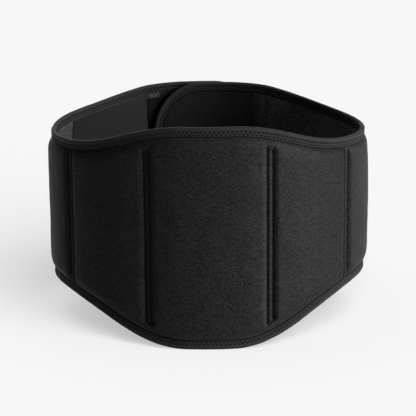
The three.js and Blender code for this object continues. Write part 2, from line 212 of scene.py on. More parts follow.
def make_object(name, points, cloth, faces):
    """Closed mesh from points, the same number of cloth coordinates, and arrays of faces."""
    mesh = bpy.data.meshes.new(name)
    points = np.asarray(points).reshape(-1, 3)
    corners = [points[f] for f in faces]
    volume = sum(
        float((c[:, 0] * np.cross(c[:, k], c[:, k + 1])).sum())
        for c in corners
        for k in range(1, c.shape[1] - 1)
    )
    if volume < 0:
        faces = [f[:, ::-1] for f in faces]
    loops = np.concatenate([f.ravel() for f in faces]).astype(np.int32)
    counts = np.concatenate([np.full(len(f), f.shape[1]) for f in faces])
    starts = np.concatenate([[0], np.cumsum(counts)[:-1]]).astype(np.int32)
    mesh.vertices.add(len(points))
    mesh.vertices.foreach_set("co", points.ravel().astype(np.float32))
    mesh.loops.add(len(loops))
    mesh.loops.foreach_set("vertex_index", loops)
    mesh.polygons.add(len(starts))
    mesh.polygons.foreach_set("loop_start", starts)
    mesh.update(calc_edges=True)
    mesh.validate()
    mesh.polygons.foreach_set("use_smooth", np.ones(len(mesh.polygons), dtype=bool))
    mesh.set_sharp_from_angle(angle=SHARP_ANGLE)
    layer = mesh.attributes.new("cloth", "FLOAT_VECTOR", "POINT")
    layer.data.foreach_set("vector", np.asarray(cloth).reshape(-1, 3).ravel().astype(np.float32))
    obj = bpy.data.objects.new(name, mesh)
    bpy.context.scene.collection.objects.link(obj)
    return obj


def grid_faces(rows, columns, start=0, closed_rows=False, closed_columns=False):
    """Quads of a grid of points numbered along its rows."""
    r = np.arange(rows if closed_rows else rows - 1)[:, None]
    c = np.arange(columns if closed_columns else columns - 1)[None, :]
    r2, c2 = (r + 1) % rows, (c + 1) % columns
    row, next_row = r * columns, r2 * columns
    quads = np.stack([row + c, row + c2, next_row + c2, next_row + c], axis=-1)
    return quads.reshape(-1, 4) + start


def slab_faces(rows, columns):
    """Quads of a closed slab: an outer grid, an inner grid after it, and the four walls between."""
    inner = rows * columns
    front = grid_faces(rows, columns)
    back = grid_faces(rows, columns, inner)[:, ::-1]
    ring = np.concatenate(
        [
            np.arange(columns),
            np.arange(1, rows) * columns + columns - 1,
            (rows - 1) * columns + np.arange(columns - 2, -1, -1),
            np.arange(rows - 2, 0, -1) * columns,
        ]
    )
    after = np.roll(ring, -1)
    walls = np.stack([after, ring, ring + inner, after + inner], axis=-1)
    return [np.concatenate([front, back, walls])]


# Added to the first cloth coordinate on the inner face of a piece
INNER_FACE = 2000


def slab(name, s, z, outer, inner, shade):
    """Closed slab between an outer and an inner depth, over a grid of places."""
    points = np.concatenate([wall(s, z, outer).reshape(-1, 3), wall(s, z, inner).reshape(-1, 3)])
    flat = np.stack([s, z, shade], axis=-1).reshape(-1, 3)
    cloth = np.concatenate([flat, flat + [INNER_FACE, 0, 0]])
    return make_object(name, points, cloth, slab_faces(*s.shape))


# Grid of a piece: insets of its rows beside the belt's edges, the number of rows between them, and
# the distances of its columns from a seam
RIM_INSETS = np.array(
    [CLOTH_EDGE, 5, 8.6, 9.3, 9.6, 10, 10.6, 11.4, 12.4, 13.6, 15, 16.5, 18.2, 20, 22]
)
MIDDLE_ROWS = 104
SEAM_STEPS = np.array([0, 0.2, 0.45, 0.8, 1.2, 1.7, 2.3, 3.1, 4, 5, 6.2])
COLUMN_STEP = 1.7


def row_heights(s):
    """Heights of a piece's rows at each of its columns."""
    low = np.stack([line_height(s, inset, False) for inset in RIM_INSETS])
    high = np.stack([line_height(s, inset, True) for inset in RIM_INSETS[::-1]])
    share = np.linspace(0, 1, MIDDLE_ROWS + 2)[1:-1, None]
    return np.concatenate([low, low[-1] + (high[0] - low[-1]) * share, high])


def columns_between(start, end, step=COLUMN_STEP, seam=SEAM_STEPS):
    """Lengths of the columns between two seams, closer together beside each seam."""
    count = max(2, round((end - start - 2 * seam[-1]) / step))
    inner = np.linspace(start + seam[-1], end - seam[-1], count)
    return np.concatenate([start + seam[:-1], inner, (end - seam[:-1])[::-1]])


# ---- Panels and channels, for the +X side. The -X side has them at the same lengths.

LUMBAR_CHANNEL = 56.1
FLANK_CHANNEL = 141.6
SIDE_CHANNEL = HALF_LOOP - 163
FRONT_CHANNEL = HALF_LOOP - 57.5
HALF_WIDTH = 2.9
HALF_FRONT_WIDTH = 6.5
TAB_SEAM = BELT_END - TAB_LENGTH

# Thickness on each side of the wall's middle, and widths of the shoulders at the tape and at a seam
THICK = {"outer": 5.6, "inner": 2.6, "rim": 12, "side": 6}
THIN = {"outer": 3.2, "inner": 2.2, "rim": 12, "side": 5}
FLAT = {"outer": 1.7, "inner": 1.7, "rim": 3, "side": 3}
PADS = {
    "lumbar_pad": {"ends": (HALF_WIDTH - LUMBAR_CHANNEL, LUMBAR_CHANNEL - HALF_WIDTH), **THICK},
    "flank_pad": {"ends": (LUMBAR_CHANNEL + HALF_WIDTH, FLANK_CHANNEL - HALF_WIDTH), **THICK},
    "side_pad": {"ends": (FLANK_CHANNEL + HALF_WIDTH, SIDE_CHANNEL - HALF_WIDTH), **THICK},
    "front_panel": {"ends": (SIDE_CHANNEL + HALF_WIDTH, FRONT_CHANNEL - HALF_FRONT_WIDTH), **THIN},
    "closure_panel": {"ends": (FRONT_CHANNEL + HALF_FRONT_WIDTH, TAB_SEAM), **FLAT},
    "end_tab": {"ends": (TAB_SEAM, BELT_END - CLOTH_EDGE), **FLAT},
}
# Each row: place, the pads on both sides, height of the ridge outside and inside, and the inset
# from the belt's edge at which the seams end
CHANNEL_ROWS = [
    ("lumbar", ("lumbar_pad", "flank_pad"), 1.7, 0.8, 16.5),
    ("flank", ("flank_pad", "side_pad"), 2.2, 0.8, 9.6),
    ("side", ("side_pad", "front_panel"), 0.9, 0.8, 16.5),
    ("front", ("front_panel", "closure_panel"), 0.9, 0.9, 12.5),
]
CHANNELS = {
    f"stay_channel_{place}": {"between": between, "ridge": ridge, "low": low, "reach": reach}
    for place, between, ridge, low, reach in CHANNEL_ROWS
}
# Columns across a channel, as shares of its width
CHANNEL_COLUMNS = np.array([0, 0.03, 0.08, 0.15, 0.24, 0.36, 0.5, 0.64, 0.76, 0.85, 0.92, 0.97, 1])

# Power of a pad's shoulder beside a seam, where it faces +X, then where it faces -X
ROUND_SHOULDER = 0.5
SLOW_SHOULDER = 0.85
SEAM_REACH = {name: [None, None] for name in PADS}
for channel in CHANNELS.values():
    before, after = channel["between"]
    SEAM_REACH[before][1] = SEAM_REACH[after][0] = channel["reach"]
SEAM_REACH["lumbar_pad"][0] = SEAM_REACH["lumbar_pad"][1]


def channel_ends(name):
    """Lengths along the wall at which a channel begins and ends."""
    before, after = CHANNELS[name]["between"]
    return PADS[before]["ends"][1], PADS[after]["ends"][0]


def pull(reach, inset):
    """How far a seam pulls the cloth down: 0 by the edge tape, 1 from the seam's own end."""
    return 0.0 if reach is None else smooth(reach - 2.5, reach + 2.5, inset)


def needle_beat(length):
    """1 at each needle hole of an even row of stitches and 0 between."""
    return 0.5 + 0.5 * np.cos(2 * np.pi * length / PITCH)


def stitch_wave(z, seed):
    """1 at each needle hole and 0 between, uneven from one stitch to the next."""
    uneven = 0.85 + 0.3 * noise(z / PITCH, np.zeros_like(z) + 0.5, seed)
    return needle_beat(z) ** 1.5 * uneven


def from_middle(name, s):
    """Length along the wall as PADS gives it: the lumbar pad is the only one on both sides."""
    return s if name == "lumbar_pad" else np.abs(s)


def rim_pucker(s, lip):
    """How far the tape's stitches pull the cloth down, at a distance from the tape's edge."""
    return RIM_PUCKER * needle_beat(s) * np.exp(-lip / RIM_PUCKER_REACH) * np.clip(lip, 0, 1)


def full_lift(name, face):
    return PADS[name]["outer" if face > 0 else "inner"] - STITCHED_HALF


def rim_lift(name, inset, face):
    """How far a pad has risen from the stitched wall at a distance from the belt's edge."""
    return swell((inset - TAPE_LIP) / PADS[name]["rim"]) * full_lift(name, face)


def pad_depths(name, s, z, face):
    """Depth of a pad's outer (face 1) or inner (face -1) surface."""
    pad = PADS[name]
    inset = inset_at(s, z)
    share = np.ones_like(s)
    pucker = np.zeros_like(s)
    middle = sum(pad["ends"]) / 2
    for end, reach, seed in zip(pad["ends"], SEAM_REACH[name], (3, 4)):
        away = np.abs(from_middle(name, s) - end)
        held = pull(reach, inset)
        way = (end - middle) * (1 if name == "lumbar_pad" else np.sign(s.flat[0]))
        power = ROUND_SHOULDER if way > 0 else SLOW_SHOULDER
        share -= held * (1 - swell(away / pad["side"], power))
        if reach is not None:
            wave = stitch_wave(z + 0.6 * (away % 2), seed + int(abs(end)))
            fade = np.exp(-away / SEAM_PUCKER_REACH)
            pucker -= held * wave * fade * np.clip(away, 0, 1) * SEAM_PUCKER
    lip = np.clip(inset - TAPE_LIP, 0, None)
    pucker -= rim_pucker(s, lip)
    soft = 0.34 * noise(s / 31, z / 43, 21) + 0.15 * noise(s / 13, z / 17, 22)
    soft = soft + 0.05 * noise(s / 5, z / 6, 23)
    soft = soft * full_lift(name, face) / 3 * np.clip(lip / 9, 0, 1)
    soft = soft * np.clip(share * 1.2 - 0.2, 0, 1)
    return face * (STITCHED_HALF + rim_lift(name, inset, face) * share + (pucker + soft))


def channel_depths(name, s, z, face):
    """Depth of a channel's outer (face 1) or inner (face -1) surface."""
    channel = CHANNELS[name]
    start, end = channel_ends(name)
    along = (np.abs(s) - start) / (end - start)
    inset = inset_at(s, z)
    held = pull(channel["reach"], inset)
    before, after = (rim_lift(neighbour, inset, face) for neighbour in channel["between"])
    over = (before * (1 - along) + after * along) * (1 - held)
    ridge = channel["ridge"] if face > 0 else channel["low"]
    shape = np.clip(1 - (2 * along - 1) ** 2, 0, 1)
    beat = stitch_wave(z, 31) * np.exp(-4 * np.minimum(along, 1 - along)) * shape * RIDGE_PUCKER
    rise = held * ridge * (shape - beat + 0.06 * noise(s / 3, z / 9, 33) * shape)
    lip = np.clip(inset - TAPE_LIP, 0, None)
    return face * (STITCHED_HALF + over + rise - rim_pucker(s, lip))


# Painted shade in the crease beside the tape and in the needle holes of a seam: how dark, and how
# wide
CREASE_SHADE = 0.8
CREASE_WIDTH = 0.75
CREASE_INSET = TAPE_LIP - 0.5
HOLE_SHADE = 0.5
HOLE_WIDTH = 0.9


def seam_shade(ends, s, z, reaches):
    """Painted shade from 0 to 1 in the crease beside the tape and in the needle holes of both
    seams.
    """
    inset = inset_at(s, z)
    shade = CREASE_SHADE * np.exp(-(((inset - CREASE_INSET) / CREASE_WIDTH) ** 2))
    for end, reach in zip(ends, reaches):
        if reach is not None:
            away = np.abs(np.abs(s) - abs(end))
            near = np.exp(-((away / HOLE_WIDTH) ** 2)) * pull(reach, inset)
            shade = np.maximum(shade, near * HOLE_SHADE * stitch_wave(z, 5))
    return np.clip(shade, 0, 1)


# Painted shadow on pad ends beside a lumbar channel that face away from the light: length along the
# wall, darkness
PAINTED_SHADE_SIDES = {
    "lumbar_pad": (HALF_WIDTH - LUMBAR_CHANNEL, 0.3),
    "flank_pad_right": (LUMBAR_CHANNEL + HALF_WIDTH, 0.65),
}
PAINTED_SHADE_WIDTH = 3.2


def painted_shade_side(name, s, z):
    """Painted shade of the pad ends listed above, and 0 on the other pads."""
    place, dark = PAINTED_SHADE_SIDES.get(name, (0, 0))
    reach = CHANNELS["stay_channel_lumbar"]["reach"]
    return dark * np.exp(-(((s - place) / PAINTED_SHADE_WIDTH) ** 2)) * pull(reach, inset_at(s, z))


def signs_of(name):
    return [("", 1)] if name == "lumbar_pad" else [("_left", -1), ("_right", 1)]


# ---- Cloth simulation: each pad's cover swells under pressure between its pinned seams

SIM_STEP = 4.2
SIM_ROWS = 44
SIM_FRAMES = 20
SIM_PRESSURE = 4
SIM_GROWTH = 0.012
SIM_STIFFNESS = 18
SIM_BENDING = 2
SIM_QUALITY = 6
# Largest movement that counts, in millimetres, and the share of it that is kept
SIM_CAP = 1.6
SIM_SHARE = 0.2


def simulate(name, sign):
    """How far a pad's outer cover moves outwards on a coarse grid.

    Gives the lengths along the wall, the shares of the height, and the movement in millimetres.
    """
    start, end = PADS[name]["ends"]
    s_line = sign * np.linspace(start, end, round((end - start) / SIM_STEP) + 1)
    share = np.linspace(0, 1, SIM_ROWS)
    low, high = line_height(s_line, TAPE_LIP, False), line_height(s_line, TAPE_LIP, True)
    z = low + (high - low) * share[:, None]
    s = np.broadcast_to(s_line, z.shape)
    depth = pad_depths(name, s, z, 1)
    before = wall(s, z, depth)
    obj = make_object("swelling", before, before, [grid_faces(*z.shape)])
    pins = np.zeros(z.shape, dtype=bool)
    pins[[0, -1], :] = True
    pins[:, [0, -1]] = True
    group = obj.vertex_groups.new(name="pins")
    group.add(np.flatnonzero(pins.ravel()).tolist(), 1, "REPLACE")
    cloth = obj.modifiers.new("cloth", "CLOTH")
    settings = cloth.settings
    settings.vertex_group_mass = "pins"
    settings.use_pressure = True
    outward = wall(s, z, depth + 1) - before
    outward /= np.linalg.norm(outward, axis=-1, keepdims=True)
    facing = np.dot(obj.data.polygons[0].normal, outward[0, 0])
    settings.uniform_pressure_force = SIM_PRESSURE if facing > 0 else -SIM_PRESSURE
    settings.shrink_min = -SIM_GROWTH
    settings.tension_stiffness = settings.compression_stiffness = SIM_STIFFNESS
    settings.bending_stiffness = SIM_BENDING
    settings.effector_weights.gravity = 0
    settings.quality = SIM_QUALITY
    cloth.collision_settings.use_collision = False
    scene = bpy.context.scene
    for step in range(1, SIM_FRAMES + 1):
        scene.frame_set(step)
    shaped = obj.evaluated_get(bpy.context.evaluated_depsgraph_get())
    after = np.empty(before.size, dtype=np.float32)
    shaped.data.vertices.foreach_get("co", after)
    scene.frame_set(1)
    bpy.data.objects.remove(obj)
    moved = ((after.reshape(before.shape) - before) * outward).sum(axis=-1) / MM
    return sign * s_line, share, np.clip(moved, -SIM_CAP, SIM_CAP) * SIM_SHARE


def read_grid(s_line, share, values, s, at):
    """Bilinear reading of a grid."""
    i = np.clip(np.searchsorted(s_line, s) - 1, 0, len(s_line) - 2)
    j = np.clip(np.searchsorted(share, at) - 1, 0, len(share) - 2)
    u = np.clip((s - s_line[i]) / (s_line[i + 1] - s_line[i]), 0, 1)
    v = np.clip((at - share[j]) / (share[j + 1] - share[j]), 0, 1)
    low = values[j, i] * (1 - u) + values[j, i + 1] * u
    high = values[j + 1, i] * (1 - u) + values[j + 1, i + 1] * u
    return low * (1 - v) + high * v


SIMULATED = ("lumbar_pad", "flank_pad", "side_pad", "front_panel")
TAB_COLUMNS = 30
pieces = {}
for name, pad in PADS.items():
    for side, sign in signs_of(name):
        start, end = pad["ends"]
        columns = columns_between(start, end)
        if name == "end_tab":
            rest = np.linspace(start + SEAM_STEPS[-1], end, TAB_COLUMNS)
            columns = np.concatenate([start + SEAM_STEPS[:-1], rest])
        z = row_heights(sign * columns)
        s = np.broadcast_to(sign * columns, z.shape).copy()
        outer, inner = pad_depths(name, s, z, 1), pad_depths(name, s, z, -1)
        if name in SIMULATED:
            low, high = line_height(s, TAPE_LIP, False), line_height(s, TAPE_LIP, True)
            at = np.clip((z - low) / (high - low), 0, 1)
            outer = outer + read_grid(*simulate(name, sign), sign * s, at)
        # Painted shade in the crease by the tape, in the seams' needle holes and on the pad ends
        # that face away from the light
        shade = seam_shade(pad["ends"], s, z, SEAM_REACH[name])
        shade = np.maximum(shade, painted_shade_side(name + side, s, z))
        pieces[name + side] = slab(f"{name}{side}_cloth", s, z, outer, inner, shade)
for name, channel in CHANNELS.items():
    start, end = channel_ends(name)
    for side, sign in signs_of(name):
        columns = start + (end - start) * CHANNEL_COLUMNS
        z = row_heights(sign * columns)
        s = np.broadcast_to(sign * columns, z.shape).copy()
        outer, inner = channel_depths(name, s, z, 1), channel_depths(name, s, z, -1)
        # Painted shade in the crease by the tape and in the seams' needle holes
        shade = seam_shade((start, end), s, z, (channel["reach"], channel["reach"]))
        pieces[name + side] = slab(f"{name}{side}_cloth", s, z, outer, inner, shade)

# ---- Edge tape: one ribbon folded over the whole outline of the belt


def edge_runs(step):
    """Stations round the outline, as (kind, +1 or -1 end, parameters)."""
    run = np.linspace(-CORNER_START, CORNER_START, round(2 * CORNER_START / step) + 1)[:-1]
    turn = np.linspace(0, np.pi / 2, round(CORNER_RADIUS * np.pi / 2 / step) + 1)[:-1]
    end_top, end_bottom = top_height(np.array(BELT_END)), bottom_height(np.array(BELT_END))
    end_height = end_top - end_bottom - 2 * CORNER_RADIUS
    down = np.linspace(0, 1, round(float(end_height) / step) + 1)[:-1]
    return [
        ("top", 1, run),
        ("upper", 1, turn),
        ("end", 1, down),
        ("lower", 1, np.pi / 2 - turn),
        ("bottom", 1, -run),
        ("lower", -1, turn),
        ("end", -1, 1 - down),
        ("upper", -1, np.pi / 2 - turn),
    ]


def edge_places(runs, inset):
    """Lengths and heights at every station, for insets of shape (stations, points)."""
    lengths, heights, first = [], [], 0
    for kind, side, values in runs:
        part = inset[first : first + len(values)]
        first += len(values)
        value = values[:, None]
        radius = CORNER_RADIUS - part
        if kind in ("top", "bottom"):
            s = value + 0 * part
            z = line_height(s, part, kind == "top")
        elif kind == "end":
            s = side * (BELT_END - part)
            high, low = top_height(s) - CORNER_RADIUS, bottom_height(s) + CORNER_RADIUS
            z = high + (low - high) * value
        elif kind == "upper":
            s = side * (CORNER_START + radius * np.sin(value))
            z = top_height(s) - CORNER_RADIUS + radius * np.cos(value)
        else:
            s = side * (CORNER_START + radius * np.sin(value))
            z = bottom_height(s) + CORNER_RADIUS - radius * np.cos(value)
        lengths.append(s)
        heights.append(z)
    return np.concatenate(lengths), np.concatenate(heights)


# Insets of the two rows of stitches and of the line between them, by which the tape is measured
STITCH_ROWS = (4.7, 7.1)
TAPE_MIDDLE = 5.9
TAPE_EDGE = 8.4
TAPE_STEP = 1.1
# Half of the tape's section, from its cut edge to the crest. Columns: inset, depth between the
# stitches, depth at a needle hole, and the painted shade there, in the crease by the cut edge and
# along the rows of stitches
TAPE_PROFILE = np.array(
    [
        [TAPE_EDGE, 1.35, 1.35, 0.9],
        [8.5, 1.7, 1.7, 0.7],
        [8.35, 2.05, 2.05, 0.2],
        [8.0, 2.2, 2.2, 0],
        [7.65, 2.15, 1.9, 0],
        [7.35, 2.0, 1.4, 0.1],
        [7.1, 1.95, 1.28, 0.2],
        [6.8, 2.0, 1.4, 0.1],
        [6.4, 2.15, 1.9, 0],
        [5.9, 2.25, 2.2, 0],
        [5.4, 2.15, 1.9, 0],
        [5.0, 2.0, 1.4, 0.1],
        [4.7, 1.95, 1.28, 0.2],
        [4.4, 2.0, 1.4, 0.1],
        [4.0, 2.2, 1.95, 0],
        [3.3, 2.35, 2.3, 0],
        [2.4, 2.4, 2.38, 0],
        [1.5, 2.5, 2.48, 0],
        [0.7, 2.2, 2.2, 0],
        [0.15, 1.5, 1.5, 0],
        [-0.1, 0.7, 0.7, 0],
    ]
)
# Drop of the tape's surface at a needle hole
HOLE_DEPTH = 0.67
# Where the tape's section turns back between the cloths it is folded over
TURN_INSETS = np.array([1.0, 4, TAPE_EDGE])
TURN_DEPTH = 1.25
# Its coordinate across the ribbon is 9 at the crest, and 30 or more inside the fold
CREST_ACROSS = 9
TURN_ACROSS = (30, 40)
TAPE_RUNS = edge_runs(TAPE_STEP)
stations = sum(len(values) for _, _, values in TAPE_RUNS)


def path_of(inset):
    """The line at one inset round the outline: lengths, heights and the distance along it."""
    s, z = edge_places(TAPE_RUNS, np.full((stations, 1), float(inset)))
    s, z = s[:, 0], z[:, 0]
    step = np.hypot(np.diff(np.append(s, s[0])), np.diff(np.append(z, z[0])))
    return s, z, np.concatenate([[0], np.cumsum(step)])


tape_s, tape_z, tape_u = path_of(TAPE_MIDDLE)
TAPE_TOTAL = tape_u[-1]
TAPE_PITCH = TAPE_TOTAL / round(TAPE_TOTAL / PITCH)


def tape_wave(u, row):
    """1 at each needle hole of a row on the tape. The holes of the two rows are staggered."""
    return (0.5 + 0.5 * np.cos(2 * np.pi * (u / TAPE_PITCH + 0.5 * row))) ** 1.3


def tape_piece():
    """The folded ribbon: outer half, inner half, and the turned edges between the cloths."""
    u = tape_u[:-1, None]
    profile_inset = TAPE_PROFILE[:, 0]
    row = (profile_inset > TAPE_MIDDLE).astype(float)
    hole = np.stack([tape_wave(u[:, 0], r) for r in row], axis=1)
    depth = TAPE_PROFILE[:, 1] * (1 - hole) + TAPE_PROFILE[:, 2] * hole
    near_edge = smooth(6.5, TAPE_EDGE, profile_inset)
    loose = 0.22 * noise(u / 17, u * 0 + 0.3, 41) + 0.1 * noise(u / 5, u * 0 + 0.3, 42)
    depth = depth + 0.10 * noise(u / 6, profile_inset / 3 + 0 * u, 43)
    outer_inset = profile_inset + near_edge * loose
    inner_inset = profile_inset + near_edge * 0.2 * noise(u / 15, u * 0 + 0.6, 44)
    turn = np.broadcast_to(TURN_INSETS, (stations, len(TURN_INSETS)))
    inset = np.concatenate([outer_inset, inner_inset[:, ::-1], turn[:, ::-1], turn], axis=1)
    level = np.full(turn.shape, TURN_DEPTH)
    depths = np.concatenate([depth, -depth[:, ::-1], -level, level], axis=1)
    s, z = edge_places(TAPE_RUNS, inset)
    points = wall(s, z, depths)
    across = [CREST_ACROSS - profile_inset, CREST_ACROSS + profile_inset[::-1]]
    across += [TURN_INSETS[::-1] + TURN_ACROSS[0], TURN_ACROSS[1] - TURN_INSETS]
    across = np.broadcast_to(np.concatenate(across), s.shape)
    # Painted shade in the needle holes and along the crease by the tape's cut edge
    painted_hole_shade = (TAPE_PROFILE[:, 1] - TAPE_PROFILE[:, 2]) / HOLE_DEPTH * hole
    painted_hole_shade = np.clip(painted_hole_shade + TAPE_PROFILE[:, 3], 0, 1)
    shade = np.concatenate([painted_hole_shade, painted_hole_shade[:, ::-1], 0 * turn, 0 * turn], axis=1)
    cloth = np.stack([np.broadcast_to(u, s.shape), across, shade], axis=-1)
    faces = [grid_faces(stations, s.shape[1], closed_rows=True, closed_columns=True)]
    return make_object("edge_tape", points, cloth, faces)


pieces["edge_tape"] = tape_piece()

# ---- Threads

# Rings of a stitch: place as a share of the pitch, height above the row, and share of the radius
THREAD_RINGS = np.array([-0.3, -0.24, -0.1, 0.1, 0.24, 0.3])
THREAD_LIFT = np.array([-0.6, -0.02, 0.2, 0.2, -0.02, -0.6])
THREAD_GIRTH = np.array([0.7, 1, 1.08, 1.08, 1, 0.7])
THREAD_SIDES = 6


def thread_rows(name, rows):
    """One piece of many short stitches.

    Each row is the distance along it, lengths, heights, depth, face, pitch, phase and radius.
    """
    points, cloth, quads, caps, first = [], [], [], [], 0
    rng = np.random.default_rng(len(name))
    for u, s, z, depth, face, pitch, phase, radius in rows:
        count = int(round((u[-1] - u[0]) / pitch))
        middle = u[0] + (np.arange(count) + 0.5 + phase) * pitch
        at = middle[:, None] + THREAD_RINGS * pitch * rng.uniform(0.93, 1.0, (count, 1))
        if phase:
            at = np.where(at > u[-1], at - (u[-1] - u[0]), at)
        place_s, place_z = np.interp(at, u, s), np.interp(at, u, z)
        ahead_s = np.interp(at + 0.05, u, s) - np.interp(at - 0.05, u, s)
        ahead_z = np.interp(at + 0.05, u, z) - np.interp(at - 0.05, u, z)
        size = np.hypot(ahead_s, ahead_z) + 1e-9
        across_s, across_z = -ahead_z / size, ahead_s / size
        level = depth(place_s, place_z) if callable(depth) else depth + 0 * place_s
        level = level + THREAD_LIFT + rng.uniform(-0.05, 0.05, (count, 1))
        level = level[..., None]
        slack = rng.normal(0, 0.05, (count, 1))
        turn = np.arange(THREAD_SIDES) * 2 * np.pi / THREAD_SIDES
        thick = radius * THREAD_GIRTH[:, None]
        side = np.cos(turn) * thick + slack[..., None]
        up = np.sin(turn) * thick
        ring_s = place_s[..., None] + across_s[..., None] * side
        ring_z = place_z[..., None] + across_z[..., None] * side
        ring = wall(ring_s, ring_z, face * (level + up))
        points.append(ring.reshape(-1, 3))
        flat = np.stack([at[..., None] + 0 * side, side * 3, 0 * side], axis=-1)
        cloth.append(flat.reshape(-1, 3))
        size_each = len(THREAD_RINGS) * THREAD_SIDES
        base = first + np.arange(count)[:, None, None] * size_each
        one = grid_faces(len(THREAD_RINGS), THREAD_SIDES, closed_columns=True)
        quads.append((base + one).reshape(-1, 4))
        start = np.arange(THREAD_SIDES)[::-1]
        finish = np.arange(THREAD_SIDES) + size_each - THREAD_SIDES
        caps.append((base[:, 0] + start).reshape(-1, THREAD_SIDES))
        caps.append((base[:, 0] + finish).reshape(-1, THREAD_SIDES))
        first += count * size_each
    faces = [np.concatenate(quads), np.concatenate(caps)]
    return make_object(name, np.concatenate(points), np.concatenate(cloth), faces)


TAPE_THREAD_DEPTH = 1.85
tape_rows = []
for row, inset in enumerate(STITCH_ROWS):
    s, z, _ = path_of(inset)
    s, z = np.append(s, s[0]), np.append(z, z[0])
    for face in (1, -1):
        phase = -0.5 * row
        tape_rows.append((tape_u, s, z, TAPE_THREAD_DEPTH, face, TAPE_PITCH, phase, THREAD))
pieces["edge_tape_stitches"] = thread_rows("edge_tape_stitches", tape_rows)


UPRIGHT_POINTS = 60


def upright(s_at, low, high, depth, face, radius=THREAD):
    """A vertical row of stitches, with its holes where stitch_wave() has them."""
    low, high = math.ceil(low / PITCH) * PITCH, math.floor(high / PITCH) * PITCH
    z = np.linspace(low, high, UPRIGHT_POINTS)
    return (z - low, np.full(UPRIGHT_POINTS, float(s_at)), z, depth, face, PITCH, 0.0, radius)


# Seams of the channels, and at both ends of each seam a tack of short level threads: how many, how
# far apart and how far past the end they begin, their reach out of and into the channel, and their
# length, depth and radius
SEAM_DEPTH = 0.95
TACK_COUNT = 4
TACK_SPACING = 0.55
TACK_START = 0.8
TACK_OUT = 0.9
TACK_IN = 1.7
TACK_LENGTH = TACK_OUT + TACK_IN
TACK_POINTS = 8
TACK_SINK = 0.1
TACK_RADIUS = THREAD * 0.7


def tack_row(name, sign, place, middle, z_at):
    """One thread of a tack, across the channel's seam at a place.

    All tacks read their depth at the front channel's place. It is near the stitched wall, so the
    tacks of the thicker pads lie partly under the cloth.
    """
    inside = place + math.copysign(TACK_IN, middle - place)
    outside = place - math.copysign(TACK_OUT, middle - place)
    u = np.linspace(0, TACK_LENGTH, TACK_POINTS)
    s = sign * np.linspace(outside, inside, TACK_POINTS)

    def level(s, z):
        near = np.sign(s) * np.clip(np.abs(s), *channel_ends("stay_channel_front"))
        return channel_depths(name, near, z, 1) - TACK_SINK

    z = np.full(TACK_POINTS, z_at)
    return (u, s, z, level, 1, TACK_LENGTH, 0.0, TACK_RADIUS)


seam_rows = []
for name, channel in CHANNELS.items():
    places = channel_ends(name)
    middle = (places[0] + places[1]) / 2
    for sign in (-1, 1):
        for place in places:
            low = float(line_height(sign * place, channel["reach"], False))
            high = float(line_height(sign * place, channel["reach"], True))
            for face in (1, -1):
                seam_rows.append(upright(sign * place, low, high, SEAM_DEPTH, face))
            for edge, way in ((low, 1), (high, -1)):
                for k in range(TACK_COUNT):
                    z_at = edge + way * (k * TACK_SPACING - TACK_START)
                    seam_rows.append(tack_row(name, sign, place, middle, z_at))
pieces["channel_stitches"] = thread_rows("channel_stitches", seam_rows)

CLOSURE_SEAM_DEPTH = 1.0
CLOSURE_SEAM_INSET = TAPE_LIP + 0.5
closure_rows = []
for sign in (-1, 1):
    low = float(line_height(sign * TAB_SEAM, CLOSURE_SEAM_INSET, False))
    high = float(line_height(sign * TAB_SEAM, CLOSURE_SEAM_INSET, True))
    for face in (1, -1):
        closure_rows.append(upright(sign * TAB_SEAM, low, high, CLOSURE_SEAM_DEPTH, face))
pieces["closure_stitches"] = thread_rows("closure_stitches", closure_rows)

# ---- Layers on the inner face

# Columns and rows of a layer beside its edges, and the number of rows between them
LAYER_STEPS = np.array([0, 0.3, 0.8, 1.6, 2.6, 3.6, 5])
LAYER_INSETS = np.append(LAYER_STEPS, [7, 10])
LAYER_ROWS = 100
LAYER_STEP = 1.8
LAYER_SINK = 0.12


def layer(name, ends, inset, thickness, depth_under):
    """A thin sheet on the inner face, with round edges and painted shade along them."""
    columns = columns_between(*ends, step=LAYER_STEP, seam=LAYER_STEPS)
    insets = inset + LAYER_INSETS
    low = np.stack([line_height(columns, i, False) for i in insets])
    high = np.stack([line_height(columns, i, True) for i in insets[::-1]])
    share = np.linspace(0, 1, LAYER_ROWS + 2)[1:-1, None]
    z = np.concatenate([low, low[-1] + (high[0] - low[-1]) * share, high])
    s = np.broadcast_to(columns, z.shape).copy()
    under = depth_under(s, z) - LAYER_SINK
    edge = np.minimum(np.abs(s - ends[0]), np.abs(s - ends[1]))
    edge = np.clip(np.minimum(edge, inset_at(s, z) - inset), 0, None)
    fat = thickness * (0.55 + 0.45 * swell(edge / 0.8))
    fat = fat + 0.16 * noise(s / 23, z / 31, 51) + 0.06 * noise(s / 6, z / 8, 52)
    # Painted shade along the sheet's edges, uneven along them
    shade = np.exp(-((edge / 1.1) ** 2)) * (0.3 + 0.2 * noise(s / 1.3, z / 1.3, 53))
    return slab(name, s, z, under, under - np.clip(fat, 0.3, None), shade)


def under_lining(s, z):
    return pad_depths("front_panel", s, z, -1)


def under_hook(s, z):
    return 0 * s - FLAT["inner"]


LINING_INSET = 9.4
LINING_THICKNESS = 0.9
HOOK_INSET = 14
HOOK_THICKNESS = 1.0
panel_start, panel_end = PADS["front_panel"]["ends"]
lining_ends = (-panel_end + 0.4, -panel_start - 0.4)
hook_ends = (-BELT_END + HOOK_INSET, -panel_end - 0.2)
pieces["lining_left"] = layer(
    "lining_left_cloth", lining_ends, LINING_INSET, LINING_THICKNESS, under_lining
)
pieces["hook_patch"] = layer("hook_patch_cloth", hook_ends, HOOK_INSET, HOOK_THICKNESS, under_hook)

# ---- Materials

# Colour that the painted shade darkens towards, and the darkest black of the hook tape
DARKEST = (0.0004, 0.0004, 0.0004)

